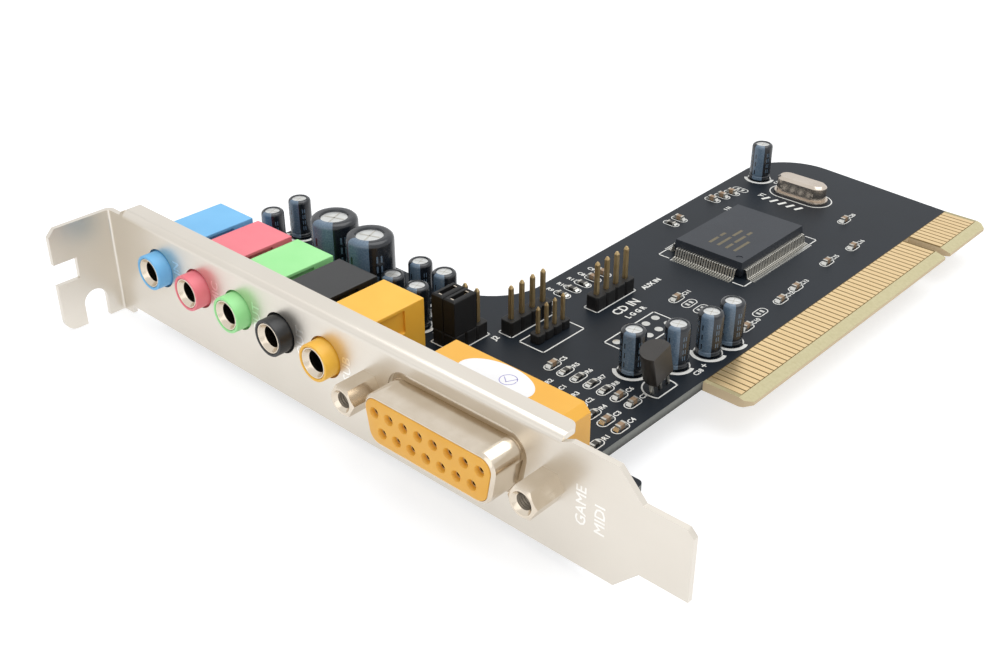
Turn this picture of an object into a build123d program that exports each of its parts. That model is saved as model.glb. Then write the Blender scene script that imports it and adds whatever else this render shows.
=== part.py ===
"""PCI sound card: slot bracket, circuit board, five audio jacks, game port and the parts on the board.

Working axes: X runs along the bracket from its screw tab to its tongue, Y runs from the
bracket's outer face back over the card, Z rises from the bracket's lower long edge.
Everything is moved at the end so that the origin lies under the middle of the card.
"""
from build123d import *
from math import cos, radians, sin, tan
import os

# Bracket: folded steel strip, standard slot cover sizes
sheet = 0.86
bracket_length = 120.02
bracket_width = 18.42
tab_length = 11.43
tab_drop = 1.5
tab_top_cut = 0.9
tab_foot = 3.4
tab_corner_cut = 1.3
tab_corner_round = 2.2
tab_notch_depth = 4.2
tab_notch_width = 3.9
tab_notch_from_top = 6.3
screw_slot_width = 4.42
screw_slot_centre = 5.1
screw_slot_depth = 5.8
bend_radius = 0.4
lip_depth = 3.7
lip_start = 4.9
lip_end_gap = 8.9
lip_corner_round = 1.5
lip_relief_depth = 0.75
lip_relief_width = 1.6
shoulder_length = 3.8
tongue_length = 7.27
tongue_width = 10.6
tongue_chamfer = 1.0
shell_cutout_clearance = 1.0
jack_hole_clearance = 0.35

# Circuit board
board_thickness = 1.57
board_front_gap = 0.35
board_left = 7.5
board_right = 95.0
board_edge = 103.4
wide_part_back = 36.0
narrow_left_near = 52.5
narrow_left_far = 56.8
far_edge_slant = 3.6
inside_round = 7.0
far_corner_round = 11.0
ear_depth = 11.5
ear_right = 103.4
ear_round = 1.5
board_corner_round = 1.0

# Edge connector: 5 volt 32 bit key
contact_pitch = 1.27
contact_width = 1.02
contact_length = 6.0
contact_thickness = 0.05
contact_end_gap = 2.1
first_contact = 40.53
contacts_before_key = 49
contacts_after_key = 11
key_positions = 3
key_width = 1.91
end_margin = 0.9
edge_corner_cut = 1.1
bevel_length = 1.9
bevel_depth = 0.5

# Audio jacks
jack_names = ["blue", "pink", "green", "black", "orange"]
first_jack = 14.5
jack_pitch = 10.25
jack_axis_height = 5.7
jack_box_width = 8.75
jack_box_height = 10.6
jack_box_depth = 15.1
jack_front_gap = 0.1
jack_barrel_diameter = 6.0
jack_barrel_length = 2.4
ferrule_diameter = 5.0
ferrule_sides = 16
ferrule_recess = 0.1
ferrule_clearance = 0.05
plug_diameter = 3.6
plug_depth = 13.0
jack_pocket_depth = 0.4
jack_pocket_height = 3.7
jack_pocket_below_top = 0.6
jack_pocket_front = 1.2
jack_pocket_back = 4.0

# Game port: 15 way D connector, female
flange_jack_gap = 2.255
game_axis_height = 4.9
flange_width = 39.14
flange_height = 12.55
flange_thickness = 0.9
flange_round = 2.0
flange_lip_gap = 0.885
screw_spacing = 33.32
shell_width = 24.96
shell_height = 8.2
shell_slope = 10.0
shell_round = 2.4
shell_wall = 0.6
shell_reach = 5.3
shell_edge_cut = 0.4
face_proud = 0.2
insulator_clearance = 0.05
socket_pitch = 2.77
socket_row_spacing = 2.84
socket_diameter = 1.2
socket_depth = 3.0
socket_sides = 8
sockets_top_row = 8
sockets_bottom_row = 7
socket_contact = 0.64
socket_contact_length = 1.4
housing_width = 26.0
housing_height = 8.9
housing_back = 12.7
housing_edge_cut = 1.2
jackscrew_across_flats = 4.3
jackscrew_length = 5.4
jackscrew_chamfer = 0.4
jackscrew_thread = 2.84
jackscrew_hole_depth = 4.0

# Audio chip: 128 lead flat pack
chip_centre = (74.5, 80.2)
chip_width = 14.0
chip_length = 20.0
chip_height = 2.7
chip_standoff = 0.25
chip_draft = 8.0
chip_dimple_diameter = 1.2
chip_dimple_depth = 0.1
chip_dimple_inset = 1.7
lead_pitch = 0.5
lead_width = 0.22
lead_thickness = 0.15
lead_reach = 1.6
lead_foot = 0.75
lead_end_margin = 0.75

# Crystal
crystal_centre = (71.3, 106.9)
crystal_length = 11.05
crystal_width = 4.65
crystal_height = 3.5
crystal_flange = 0.5
crystal_step = 0.42
crystal_top_round = 0.5

# Electrolytic capacitors
small_can_diameter = 4.0
small_can_height = 7.4
small_can_places = [
    (13.3, 24.3), (12.8, 30.8),
    (46.3, 22.3), (46.3, 28.4), (51.8, 22.3), (51.8, 28.4),
    (85.4, 34.4), (89.3, 40.2), (90.9, 46.6), (91.5, 51.6),
    (60.6, 109.0),
]
large_can_diameter = 8.0
large_can_height = 11.8
large_can_places = [(30.3, 24.2), (39.7, 23.6)]
can_top_cut = 0.35

# Pin headers
pin_pitch = 2.54
pin_width = 0.64
pin_height = 8.3
pin_tip = 0.5
header_base_height = 2.5
header_cell_cut = 0.35
row_header_places = [(64.2, 30.7), (69.2, 46.0)]
row_header_pins = 4
fine_pitch = 2.0
fine_pin_width = 0.5
fine_pin_height = 6.2
fine_base_height = 1.6
fine_header_place = (69.3, 31.3)
jumper_header_place = (58.3, 21.4)
jumper_header_columns = 2
jumper_header_rows = 3
jumper_width = 2.4
jumper_length = 4.9
jumper_roof = 0.4
jumper_slot_width = 0.9
jumper_slot_depth = 0.9
jumper_slot_end_wall = 0.6
jumper_wall_clearance = 0.05
jumper_top_cut = 0.25

# Voltage regulator, three leads, leaning towards the bracket
regulator_place = (91.5, 33.3)
regulator_diameter = 4.7
regulator_flat = 1.2
regulator_height = 5.2
regulator_lean = 14.0
regulator_lead_length = 2.6
regulator_lead_width = 0.45
regulator_lead_spacing = 1.9

# Chip resistors and chip capacitors
chip_part_length = 1.6
chip_part_width = 0.85
resistor_height = 0.45
capacitor_height = 0.8
front_row_y = 27.5
front_row_start = 75.6
chip_row_pitch = 2.55
front_row_kinds = "crrrrcc"
side_row_y = 21.3
side_row_start = 78.1
side_row_kinds = "rcrcrcc"
loose_resistors = [(93.3, 15.7), (59.9, 80.0), (62.4, 45.5), (62.5, 48.1), (62.6, 50.7)]
loose_capacitors = [
    (77.4, 57.2), (91.2, 56.9), (90.5, 68.4), (90.1, 73.8), (89.3, 85.5), (89.7, 93.9),
    (83.1, 102.7), (59.9, 82.6), (59.6, 94.0), (60.1, 96.6), (60.6, 99.2), (62.7, 53.3), (62.8, 55.9),
]

# Levels and places that several pieces share
flange_middle = bracket_width - sheet - flange_lip_gap - flange_height / 2
board_top = flange_middle - game_axis_height
board_lift = board_top - board_thickness
board_front = sheet + flange_thickness + board_front_gap
key_span = key_positions * contact_pitch
last_main_contact = first_contact + (contacts_before_key - 1) * contact_pitch
first_far_contact = last_main_contact + key_span
last_contact = first_far_contact + (contacts_after_key - 1) * contact_pitch
tab_near = first_contact - contact_width / 2 - end_margin
board_far = last_contact + contact_width / 2 + end_margin
key_centre = last_main_contact + key_span / 2
contact_start = board_edge - contact_end_gap - contact_length
jack_axis = board_top + jack_axis_height
game_axis = flange_middle
flange_back = sheet + flange_thickness
shoulder_start = bracket_length - tongue_length - shoulder_length
tongue_start = bracket_length - tongue_length
lip_end = shoulder_start - lip_end_gap
tongue_low = (bracket_width - tongue_width) / 2
tab_top = bracket_width - tab_top_cut
jack_places = [first_jack + i * jack_pitch for i in range(len(jack_names))]
game_centre = jack_places[-1] + jack_box_width / 2 + flange_jack_gap + flange_width / 2
screw_places = [game_centre - screw_spacing / 2, game_centre + screw_spacing / 2]


def block(x0, x1, y0, y1, z0, z1):
    """A box given by its faces."""
    size = Box(x1 - x0, y1 - y0, z1 - z0)
    return Pos((x0 + x1) / 2, (y0 + y1) / 2, (z0 + z1) / 2) * size


def rod(x, z, diameter, y0, y1):
    """A round rod along Y."""
    turned = Rot(-90, 0, 0) * Cylinder(diameter / 2, y1 - y0)
    return Pos(x, (y0 + y1) / 2, z) * turned


def sheet_along_y(points, y0, y1):
    """A flat outline in X and Z, extruded along Y."""
    face = Plane.XZ * make_face(Polyline(*points, close=True))
    return Pos(0, y0, 0) * extrude(face, amount=y1 - y0, dir=(0, 1, 0))


def sheet_along_x(points, x0, x1):
    """A flat outline in Y and Z, extruded along X."""
    face = Plane.YZ * make_face(Polyline(*points, close=True))
    return Pos(x0, 0, 0) * extrude(face, amount=x1 - x0, dir=(1, 0, 0))


def d_outline(width, height, rounding):
    """The D connector's outline, wide side up, centred on the port's axis."""
    slant = height * tan(radians(shell_slope))
    top = width / 2
    bottom = top - slant
    points = [(-top, height / 2), (top, height / 2), (bottom, -height / 2), (-bottom, -height / 2)]
    face = make_face(Polyline(*points, close=True))
    return fillet(face.vertices(), rounding)


def d_solid(width, height, rounding, y0, y1):
    """The D outline as a solid on the game port's axis."""
    face = Plane.XZ * d_outline(width, height, rounding)
    return Pos(game_centre, y0, game_axis) * extrude(face, amount=y1 - y0, dir=(0, 1, 0))


def edges_at(part, axis, x=None, y=None, z=None):
    """Edges along an axis that lie on the given coordinates."""
    found = []
    for edge in part.edges().filter_by(axis):
        middle = edge.center()
        on_x = x is None or abs(middle.X - x) < 1e-4
        on_y = y is None or abs(middle.Y - y) < 1e-4
        on_z = z is None or abs(middle.Z - z) < 1e-4
        if on_x and on_y and on_z:
            found.append(edge)
    return found


def bracket_strip():
    """The long strip with its shoulders and tongue."""
    tongue_high = tongue_low + tongue_width
    outline = [
        (0, -tab_drop),
        (tab_foot, -tab_drop),
        (tab_foot, 0),
        (shoulder_start, 0),
        (tongue_start, tongue_low),
        (bracket_length, tongue_low),
        (bracket_length, tongue_high - tongue_chamfer),
        (bracket_length - tongue_chamfer, tongue_high),
        (tongue_start, tongue_high),
        (shoulder_start, bracket_width),
        (lip_end + lip_relief_width, bracket_width),
        (lip_end, bracket_width - lip_relief_depth),
        (lip_end, bracket_width),
        (lip_start, bracket_width),
        (lip_start - sheet, tab_top),
        (0, tab_top),
    ]
    return sheet_along_y(outline, 0, sheet)


def bracket_tab():
    """The screw tab, with its open screw slot and the notch in its free edge."""
    notch_top = tab_top - tab_notch_from_top
    outline = [
        (sheet, -tab_drop),
        (-tab_length, -tab_drop),
        (-tab_length, notch_top - tab_notch_width),
        (-tab_length + tab_notch_depth, notch_top - tab_notch_width),
        (-tab_length + tab_notch_depth, notch_top),
        (-tab_length, notch_top),
        (-tab_length, tab_top - tab_corner_cut),
        (-tab_length + tab_corner_cut, tab_top),
        (sheet, tab_top),
    ]
    tab = sheet_along_x(outline, 0, sheet)
    tab = fillet(edges_at(tab, Axis.X, y=-tab_length, z=-tab_drop), tab_corner_round)
    radius = screw_slot_width / 2
    arc_centre = -tab_drop + screw_slot_depth - radius
    slot_end = Pos(sheet / 2, -screw_slot_centre, arc_centre) * (Rot(0, 90, 0) * Cylinder(radius, 2 * sheet))
    slot_mouth = block(-sheet, 2 * sheet, -screw_slot_centre - radius, -screw_slot_centre + radius,
                       -2 * tab_drop, arc_centre)
    return tab - slot_end - slot_mouth


def bracket_fold():
    """The strip's upper edge folded back into a stiffening lip, bent on a true radius."""
    root = bracket_width - lip_depth
    side = [
        (0, root),
        (sheet, root),
        (sheet, bracket_width - sheet),
        (lip_depth, bracket_width - sheet),
        (lip_depth, bracket_width),
        (0, bracket_width),
    ]
    fold = sheet_along_x(side, lip_start, lip_end)
    fold = fillet(edges_at(fold, Axis.X, y=sheet, z=bracket_width - sheet), bend_radius)
    fold = fillet(edges_at(fold, Axis.X, y=0, z=bracket_width), bend_radius + sheet)
    free_corner = edges_at(fold, Axis.Z, x=lip_end, y=lip_depth)
    fold = fillet(free_corner, lip_corner_round)
    room = block(lip_start, lip_end, -sheet, 2 * sheet, root, bracket_width + sheet)
    return fold, room


def bracket():
    fold, room = bracket_fold()
    body = bracket_strip() - room + fold + bracket_tab()
    body = fillet(edges_at(body, Axis.Z, x=sheet, y=0), bend_radius)
    body = fillet(edges_at(body, Axis.Z, x=0, y=sheet), bend_radius + sheet)
    jack_hole = jack_barrel_diameter + 2 * jack_hole_clearance
    for x in jack_places:
        body -= rod(x, jack_axis, jack_hole, -sheet, 2 * sheet)
    grow = 2 * shell_cutout_clearance
    body -= d_solid(shell_width + grow, shell_height + grow, shell_round + shell_cutout_clearance,
                    -sheet, 2 * sheet)
    return body


def board_outline():
    """The board seen from above: wide behind the bracket, narrow over the edge connector."""
    points = [
        (board_left, board_front),
        (ear_right, board_front),
        (ear_right, board_front + ear_depth),
        (board_right, board_front + ear_depth),
        (board_right, tab_near),
        (board_edge - edge_corner_cut, tab_near),
        (board_edge, tab_near + edge_corner_cut),
        (board_edge, key_centre - key_width / 2),
        (contact_start, key_centre - key_width / 2),
        (contact_start, key_centre + key_width / 2),
        (board_edge, key_centre + key_width / 2),
        (board_edge, board_far - edge_corner_cut),
        (board_edge - edge_corner_cut, board_far),
        (board_right, board_far),
        (narrow_left_far, board_far + far_edge_slant),
        (narrow_left_near, wide_part_back),
        (board_left, wide_part_back),
    ]
    face = make_face(Polyline(*points, close=True))
    rounds = [
        (narrow_left_far, board_far + far_edge_slant, far_corner_round),
        (narrow_left_near, wide_part_back, inside_round),
        (board_right, board_front + ear_depth, ear_round),
        (board_left, wide_part_back, board_corner_round),
        (ear_right, board_front + ear_depth, board_corner_round),
    ]
    for x, y, radius in rounds:
        corner = min(face.vertices(), key=lambda v: abs(v.X - x) + abs(v.Y - y))
        face = fillet(corner, radius)
    return face


def board():
    plate = Pos(0, 0, board_lift) * extrude(board_outline(), amount=board_thickness, dir=(0, 0, 1))
    over = board_edge + bevel_length
    drop = 2 * bevel_depth
    top_wedge = [
        (board_edge - bevel_length, board_top),
        (over, board_top),
        (over, board_top - drop),
    ]
    low_wedge = [
        (board_edge - bevel_length, board_lift),
        (over, board_lift),
        (over, board_lift + drop),
    ]
    for wedge in (top_wedge, low_wedge):
        plate -= sheet_along_y(wedge, tab_near - end_margin, board_far + end_margin)
    return plate


def contact_rows():
    """Middles of the edge contacts along the board."""
    main = [first_contact + i * contact_pitch for i in range(contacts_before_key)]
    far = [first_far_contact + i * contact_pitch for i in range(contacts_after_key)]
    return main + far


def edge_contacts(z0):
    """One plated contact for each position, as separate thin pads."""
    half = contact_width / 2
    return [block(contact_start, contact_start + contact_length, y - half, y + half,
                  z0, z0 + contact_thickness)
            for y in contact_rows()]


def jack_housing(x):
    """Moulded box on the board, its plain round barrel reaching out through the bracket."""
    front = sheet + jack_front_gap
    half = jack_box_width / 2
    box = block(x - half, x + half, front, front + jack_box_depth, board_top, board_top + jack_box_height)
    pocket_top = board_top + jack_box_height - jack_pocket_below_top
    for side in (-1, 1):
        wall = x + side * half
        box -= block(wall - jack_pocket_depth, wall + jack_pocket_depth, front + jack_pocket_front,
                     front + jack_box_depth - jack_pocket_back, pocket_top - jack_pocket_height, pocket_top)
    barrel = rod(x, jack_axis, jack_barrel_diameter, -jack_barrel_length, front)
    seat = ferrule_prism(x, ferrule_diameter + 2 * ferrule_clearance, -jack_barrel_length,
                         plug_depth - jack_barrel_length)
    return box + barrel - seat


def ferrule_prism(x, diameter, y0, y1):
    """The many sided outside of a jack's bush, along Y."""
    outline = Plane.XZ * RegularPolygon(diameter / 2, ferrule_sides)
    return Pos(x, y0, jack_axis) * extrude(outline, amount=y1 - y0, dir=(0, 1, 0))


def jack_ferrule(x):
    """Nickel bush that lines a jack and guides the plug."""
    start = ferrule_recess - jack_barrel_length
    bush = ferrule_prism(x, ferrule_diameter, start, plug_depth - jack_barrel_length)
    return bush - rod(x, jack_axis, plug_diameter, start - 1, plug_depth)


def game_shell():
    """Steel shell: a flange behind the bracket and a D shaped skirt through it."""
    half_w = flange_width / 2
    half_h = flange_height / 2
    flange = block(game_centre - half_w, game_centre + half_w, sheet, flange_back,
                   game_axis - half_h, game_axis + half_h)
    flange = fillet(flange.edges().filter_by(Axis.Y), flange_round)
    skirt = d_solid(shell_width, shell_height, shell_round, -shell_reach, sheet)
    skirt = chamfer(skirt.faces().sort_by(Axis.Y)[0].edges(), shell_edge_cut)
    inner = 2 * shell_wall
    opening = d_solid(shell_width - inner, shell_height - inner, shell_round - shell_wall,
                      -shell_reach - 1, flange_back + 1)
    return flange + skirt - opening


def socket_places():
    """Middles of the fifteen sockets, eight over seven."""
    upper = game_axis + socket_row_spacing / 2
    lower = game_axis - socket_row_spacing / 2
    upper_start = game_centre - (sockets_top_row - 1) * socket_pitch / 2
    lower_start = game_centre - (sockets_bottom_row - 1) * socket_pitch / 2
    places = [(upper_start + i * socket_pitch, upper) for i in range(sockets_top_row)]
    return places + [(lower_start + i * socket_pitch, lower) for i in range(sockets_bottom_row)]


def game_insulator():
    """Moulded face with its sockets, filling the shell."""
    shrink = 2 * (shell_wall + insulator_clearance)
    front = -shell_reach - face_proud
    face = d_solid(shell_width - shrink, shell_height - shrink, shell_round - shell_wall, front, flange_back)
    hole = Plane.XZ * RegularPolygon(socket_diameter / 2, socket_sides)
    for x, z in socket_places():
        face -= Pos(x, front, z) * extrude(hole, amount=socket_depth, dir=(0, 1, 0))
    return face


def game_contacts():
    """A square contact blade standing at the bottom of each socket."""
    bottom = socket_depth - shell_reach - face_proud
    half = socket_contact / 2
    return [block(x - half, x + half, bottom - socket_contact_length, bottom, z - half, z + half)
            for x, z in socket_places()]


def game_housing():
    """Rear housing on the board, against the back of the flange."""
    half = housing_width / 2
    top = board_top + housing_height
    body = block(game_centre - half, game_centre + half, board_front, housing_back, board_top, top)
    body = chamfer(edges_at(body, Axis.Y, z=top), housing_edge_cut)
    nose_low = game_axis - shell_height / 2 + shell_round
    nose = block(game_centre - half + shell_round, game_centre + half - shell_round, flange_back, board_front,
                 nose_low, top - housing_edge_cut)
    return body + nose


def jackscrew(x):
    """Hex post against the bracket, with a threaded hole in its front end."""
    across_corners = jackscrew_across_flats / cos(radians(30))
    hexagon = Plane.XZ * RegularPolygon(across_corners / 2, 6)
    post = Pos(x, -jackscrew_length, game_axis) * extrude(hexagon, amount=jackscrew_length, dir=(0, 1, 0))
    post = chamfer(post.faces().sort_by(Axis.Y)[0].edges(), jackscrew_chamfer)
    bottom = jackscrew_hole_depth - jackscrew_length
    return post - rod(x, game_axis, jackscrew_thread, -jackscrew_length - 1, bottom)


def chip_body():
    """Moulded body, drafted both ways from the lead plane, with the pin one dimple."""
    x, y = chip_centre
    middle = board_top + chip_standoff + chip_height / 2
    plan = Rectangle(chip_width, chip_length)
    upper = extrude(plan, amount=chip_height / 2, dir=(0, 0, 1), taper=chip_draft)
    lower = extrude(plan, amount=chip_height / 2, dir=(0, 0, -1), taper=chip_draft)
    body = Pos(x, y, middle) * (upper + lower)
    dimple = Cylinder(chip_dimple_diameter / 2, 2 * chip_dimple_depth)
    body -= Pos(x + chip_width / 2 - chip_dimple_inset, y - chip_length / 2 + chip_dimple_inset,
                middle + chip_height / 2) * dimple
    return body


def gull_lead():
    """One gull wing lead, drawn straight, that leaves the body along +X and stands on the board."""
    height = chip_standoff + chip_height / 2 + lead_thickness / 2
    side = [
        (0, height),
        (lead_reach, 0),
        (lead_reach - lead_foot, 0),
        (0, height - 2 * lead_thickness),
    ]
    return sheet_along_y(side, -lead_width / 2, lead_width / 2)


def chip_leads():
    """All leads of the chip, side by side on its four sides."""
    x, y = chip_centre
    lead = gull_lead()
    leads = []
    for turn, half_body, side in ((0, chip_width / 2, chip_length), (90, chip_length / 2, chip_width),
                                  (180, chip_width / 2, chip_length), (270, chip_length / 2, chip_width)):
        count = round((side - 2 * lead_end_margin) / lead_pitch) + 1
        start = -(count - 1) * lead_pitch / 2
        for i in range(count):
            place = Pos(x, y, board_top) * Rot(0, 0, turn) * Pos(half_body, start + i * lead_pitch, 0)
            leads.append(place * lead)
    return leads


def stadium(length, width, height):
    """A bar with round ends, standing on Z = 0."""
    return extrude(SlotOverall(length, width), amount=height, dir=(0, 0, 1))


def crystal_base():
    x, y = crystal_centre
    return Pos(x, y, board_top) * stadium(crystal_length, crystal_width, crystal_flange)


def crystal_can():
    x, y = crystal_centre
    can = stadium(crystal_length - 2 * crystal_step, crystal_width - 2 * crystal_step,
                  crystal_height - crystal_flange)
    can = chamfer(can.faces().sort_by(Axis.Z)[-1].edges(), crystal_top_round)
    return Pos(x, y, board_top + crystal_flange) * can


def capacitor(place, diameter, height, top_cut):
    """A sealed can standing on the board; a large one has its top edge crimped round."""
    can = Cylinder(diameter / 2, height)
    if top_cut:
        can = chamfer(can.edges().sort_by(Axis.Z)[-1], top_cut)
    return Pos(place[0], place[1], board_top + height / 2) * can


def pin(width, height):
    """A square pin with a blunt pointed tip, standing on Z = 0."""
    shank = extrude(Rectangle(width, width), amount=height - pin_tip, dir=(0, 0, 1))
    end = Pos(0, 0, height - pin_tip) * Rectangle(width, width)
    tip = extrude(end, amount=pin_tip, dir=(0, 0, 1), taper=20)
    return shank + tip


def header_grid(place, columns, rows, pitch):
    """Pin places of a header, columns along X and rows along Y."""
    return [(place[0] + c * pitch, place[1] + r * pitch) for c in range(columns) for r in range(rows)]


def header_base(places, pitch, height, pin_size):
    """Moulded base that can be snapped between its pins: one square cell with cut corners for each."""
    half = pin_size / 2
    near = min(places)
    far = max(places)
    cells = block(near[0] - half, far[0] + half, near[1] - half, far[1] + half, board_top, board_top + height)
    outline = chamfer(Rectangle(pitch, pitch).vertices(), header_cell_cut)
    for x, y in places:
        cells += Pos(x, y, board_top) * extrude(outline, amount=height, dir=(0, 0, 1))
    for x, y in places:
        cells -= Pos(x, y, board_top + height / 2) * Box(pin_size, pin_size, 2 * height)
    return cells


def header_pins(places, width, height):
    return [Pos(x, y, board_top) * pin(width, height) for x, y in places]


def jumper_cap(column):
    """Cap that bridges the first two pins of one column, with an open slot over their tips."""
    x = jumper_header_place[0] + column * pin_pitch
    y = jumper_header_place[1] + pin_pitch / 2
    foot = board_top + header_base_height
    depth = pin_height - header_base_height + jumper_wall_clearance
    height = depth + jumper_roof
    cap = Box(jumper_width, jumper_length, height)
    cap = chamfer(cap.faces().sort_by(Axis.Z)[-1].edges(), jumper_top_cut)
    cap = Pos(x, y, foot + height / 2) * cap
    pocket = pin_width + 2 * jumper_wall_clearance
    for row in (0, 1):
        cap -= Pos(x, jumper_header_place[1] + row * pin_pitch, foot) * Box(pocket, pocket, 2 * depth)
    slot = Box(jumper_slot_width, jumper_length - 2 * jumper_slot_end_wall, 2 * jumper_slot_depth)
    return cap - Pos(x, y, foot + height) * slot


def regulator_pose():
    """The leaning regulator's frame, on the board at its middle lead."""
    return Pos(regulator_place[0], regulator_place[1], board_top) * Rot(regulator_lean, 0, 0)


def regulator_body():
    """Half round moulded body on its leads, flat side towards the board's right edge."""
    radius = regulator_diameter / 2
    disc = Circle(radius) - Pos(radius + regulator_flat, 0) * Rectangle(2 * radius, 4 * radius)
    body = Pos(0, 0, regulator_lead_length) * extrude(disc, amount=regulator_height, dir=(0, 0, 1))
    return regulator_pose() * body


def regulator_leads():
    """Three flat leads from the body's foot down to the board."""
    leads = []
    far = 2 * bracket_length
    under = block(-far, far, -far, far, -far, board_top)
    half = regulator_lead_width / 2
    for i in (-1, 0, 1):
        y = i * regulator_lead_spacing
        lead = block(-half, half, y - half, y + half, -regulator_lead_length, regulator_lead_length)
        leads.append(regulator_pose() * lead - under)
    return leads


def chip_part_places(kind):
    """Places of the chip resistors (r) or chip capacitors (c)."""
    places = []
    for y, start, kinds in ((front_row_y, front_row_start, front_row_kinds),
                            (side_row_y, side_row_start, side_row_kinds)):
        places += [(start + i * chip_row_pitch, y) for i, k in enumerate(kinds) if k == kind]
    return places + (loose_resistors if kind == "r" else loose_capacitors)


def chip_parts(kind, height):
    half_w = chip_part_width / 2
    half_l = chip_part_length / 2
    return [block(x - half_w, x + half_w, y - half_l, y + half_l, board_top, board_top + height)
            for x, y in chip_part_places(kind)]


def all_nodes():
    """Every piece by its node's name, in working axes."""
    nodes = {
        "circuit_board": board(),
        "edge_contacts_component_side": edge_contacts(board_top),
        "edge_contacts_solder_side": edge_contacts(board_lift - contact_thickness),
        "slot_bracket": bracket(),
        "game_port_shell": game_shell(),
        "game_port_insulator": game_insulator(),
        "game_port_contacts": game_contacts(),
        "game_port_housing": game_housing(),
        "jackscrew_left": jackscrew(screw_places[0]),
        "jackscrew_right": jackscrew(screw_places[1]),
        "audio_chip_body": chip_body(),
        "audio_chip_leads": chip_leads(),
        "crystal_base": crystal_base(),
        "crystal_can": crystal_can(),
        "regulator_body": regulator_body(),
        "regulator_leads": regulator_leads(),
        "chip_resistors": chip_parts("r", resistor_height),
        "chip_capacitors": chip_parts("c", capacitor_height),
        "small_capacitors": [capacitor(p, small_can_diameter, small_can_height, 0) for p in small_can_places],
        "large_capacitors": [capacitor(p, large_can_diameter, large_can_height, can_top_cut)
                             for p in large_can_places],
    }
    for name, x in zip(jack_names, jack_places):
        nodes["jack_housing_" + name] = jack_housing(x)
        nodes["jack_ferrule_" + name] = jack_ferrule(x)
    headers = {
        "cd_header": header_grid(row_header_places[0], 1, row_header_pins, pin_pitch),
        "aux_header": header_grid(row_header_places[1], 1, row_header_pins, pin_pitch),
        "jumper_header": header_grid(jumper_header_place, jumper_header_columns, jumper_header_rows,
                                     pin_pitch),
    }
    for name, places in headers.items():
        nodes[name + "_base"] = header_base(places, pin_pitch, header_base_height, pin_width)
        nodes[name + "_pins"] = header_pins(places, pin_width, pin_height)
    fine = header_grid(fine_header_place, 1, row_header_pins, fine_pitch)
    nodes["fine_header_base"] = header_base(fine, fine_pitch, fine_base_height, fine_pin_width)
    nodes["fine_header_pins"] = header_pins(fine, fine_pin_width, fine_pin_height)
    for column in range(jumper_header_columns):
        nodes["jumper_cap_" + str(column + 1)] = jumper_cap(column)
    return nodes


def main():
    os.makedirs("parts", exist_ok=True)
    nodes = all_nodes()
    centre_y = (nodes["circuit_board"].bounding_box().max.Y - tab_length) / 2
    to_origin = Pos(-bracket_length / 2, -centre_y, tab_drop)
    for name, piece in nodes.items():
        solids = piece if isinstance(piece, list) else [piece]
        placed = [to_origin * solid for solid in solids]
        whole = placed[0] if len(placed) == 1 else Compound(children=placed)
        export_step(whole, "parts/" + name + ".step")


if __name__ == "__main__":
    main()
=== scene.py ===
"""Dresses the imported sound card: finishes for its solids, printed and soldered detail, light and camera."""
import math

import bmesh
import bpy
from mathutils import Matrix, Vector
from mathutils.geometry import convex_hull_2d


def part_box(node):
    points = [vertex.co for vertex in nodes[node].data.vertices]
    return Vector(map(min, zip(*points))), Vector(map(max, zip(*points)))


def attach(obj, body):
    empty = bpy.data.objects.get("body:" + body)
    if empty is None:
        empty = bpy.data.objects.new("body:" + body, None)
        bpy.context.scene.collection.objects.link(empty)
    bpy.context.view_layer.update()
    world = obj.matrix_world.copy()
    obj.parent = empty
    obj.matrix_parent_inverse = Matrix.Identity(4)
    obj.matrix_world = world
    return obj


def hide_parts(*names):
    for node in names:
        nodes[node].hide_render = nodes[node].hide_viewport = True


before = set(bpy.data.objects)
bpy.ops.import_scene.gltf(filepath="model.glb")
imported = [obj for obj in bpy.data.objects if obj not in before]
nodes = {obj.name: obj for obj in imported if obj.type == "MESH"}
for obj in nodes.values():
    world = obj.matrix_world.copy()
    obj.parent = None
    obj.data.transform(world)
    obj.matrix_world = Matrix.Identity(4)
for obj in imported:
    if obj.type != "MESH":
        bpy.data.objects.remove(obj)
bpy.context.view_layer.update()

# Real sizes in millimetres that the frame does not give
MM = 0.001
same_point = 0.0001
bracket_width = 18.42
bracket_sheet = 0.86
shell_edge_cut = 0.4
ink_thickness = 0.02
pad_thickness = 0.03
line_width = 0.22
label_size = 1.2
chip_lead_pitch = 0.5
chip_lead_width = 0.3
chip_lead_thickness = 0.14
lead_pad_width = 0.33
lead_pad_reach = 0.8
chip_part_width = 0.85
chip_part_length = 1.6
header_pitch = 2.54
socket_pitch = 2.77
# The board's wide part as the view shows it, where the solid is larger: its inner corner goes from the
# first pair of places to the second, its back edge with it, its left edge by this much
solid_corner = ((45.84, 36.0), (52.83, 42.65))
seen_corner = ((44.0, 33.5), (57.7, 44.5))
left_edge_shift = 2.4
left_edge_limit = 9.0
back_edge_limit = 34.9
# Chip parts nearer to the board's left edge than the first place lie across; past the second there is
# no room for a number beside them
across_limit = 64.0
edge_limit = 61.5
# The header that was never fitted: its first pad, columns and rows. Then the places of missing chip parts
empty_header = (78.6, 39.5, 2, 5)
empty_chips = ((79.9, 57.3), (82.4, 57.1), (90.2, 62.6), (61.0, 101.6))

# Levels and faces read from the frame
bracket_low, bracket_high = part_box("slot_bracket")
board_low, board_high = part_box("circuit_board")
contacts_low, contacts_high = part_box("edge_contacts_component_side")
outer_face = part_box("jackscrew_left")[1].y
strip_foot = bracket_high.z - bracket_width * MM
board_top = board_high.z
board_under = board_low.z

jack_names = ("blue", "pink", "green", "black", "orange")
header_names = ("cd_header", "aux_header", "jumper_header", "fine_header")

# Directions in which print runs
rightward = Vector((1, 0, 0))
leftward = Vector((-1, 0, 0))
inward = Vector((0, 1, 0))
upward = Vector((0, 0, 1))


def mm(x, y, z=0.0):
    """A step in millimetres."""
    return Vector((x, y, z)) * MM


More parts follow.
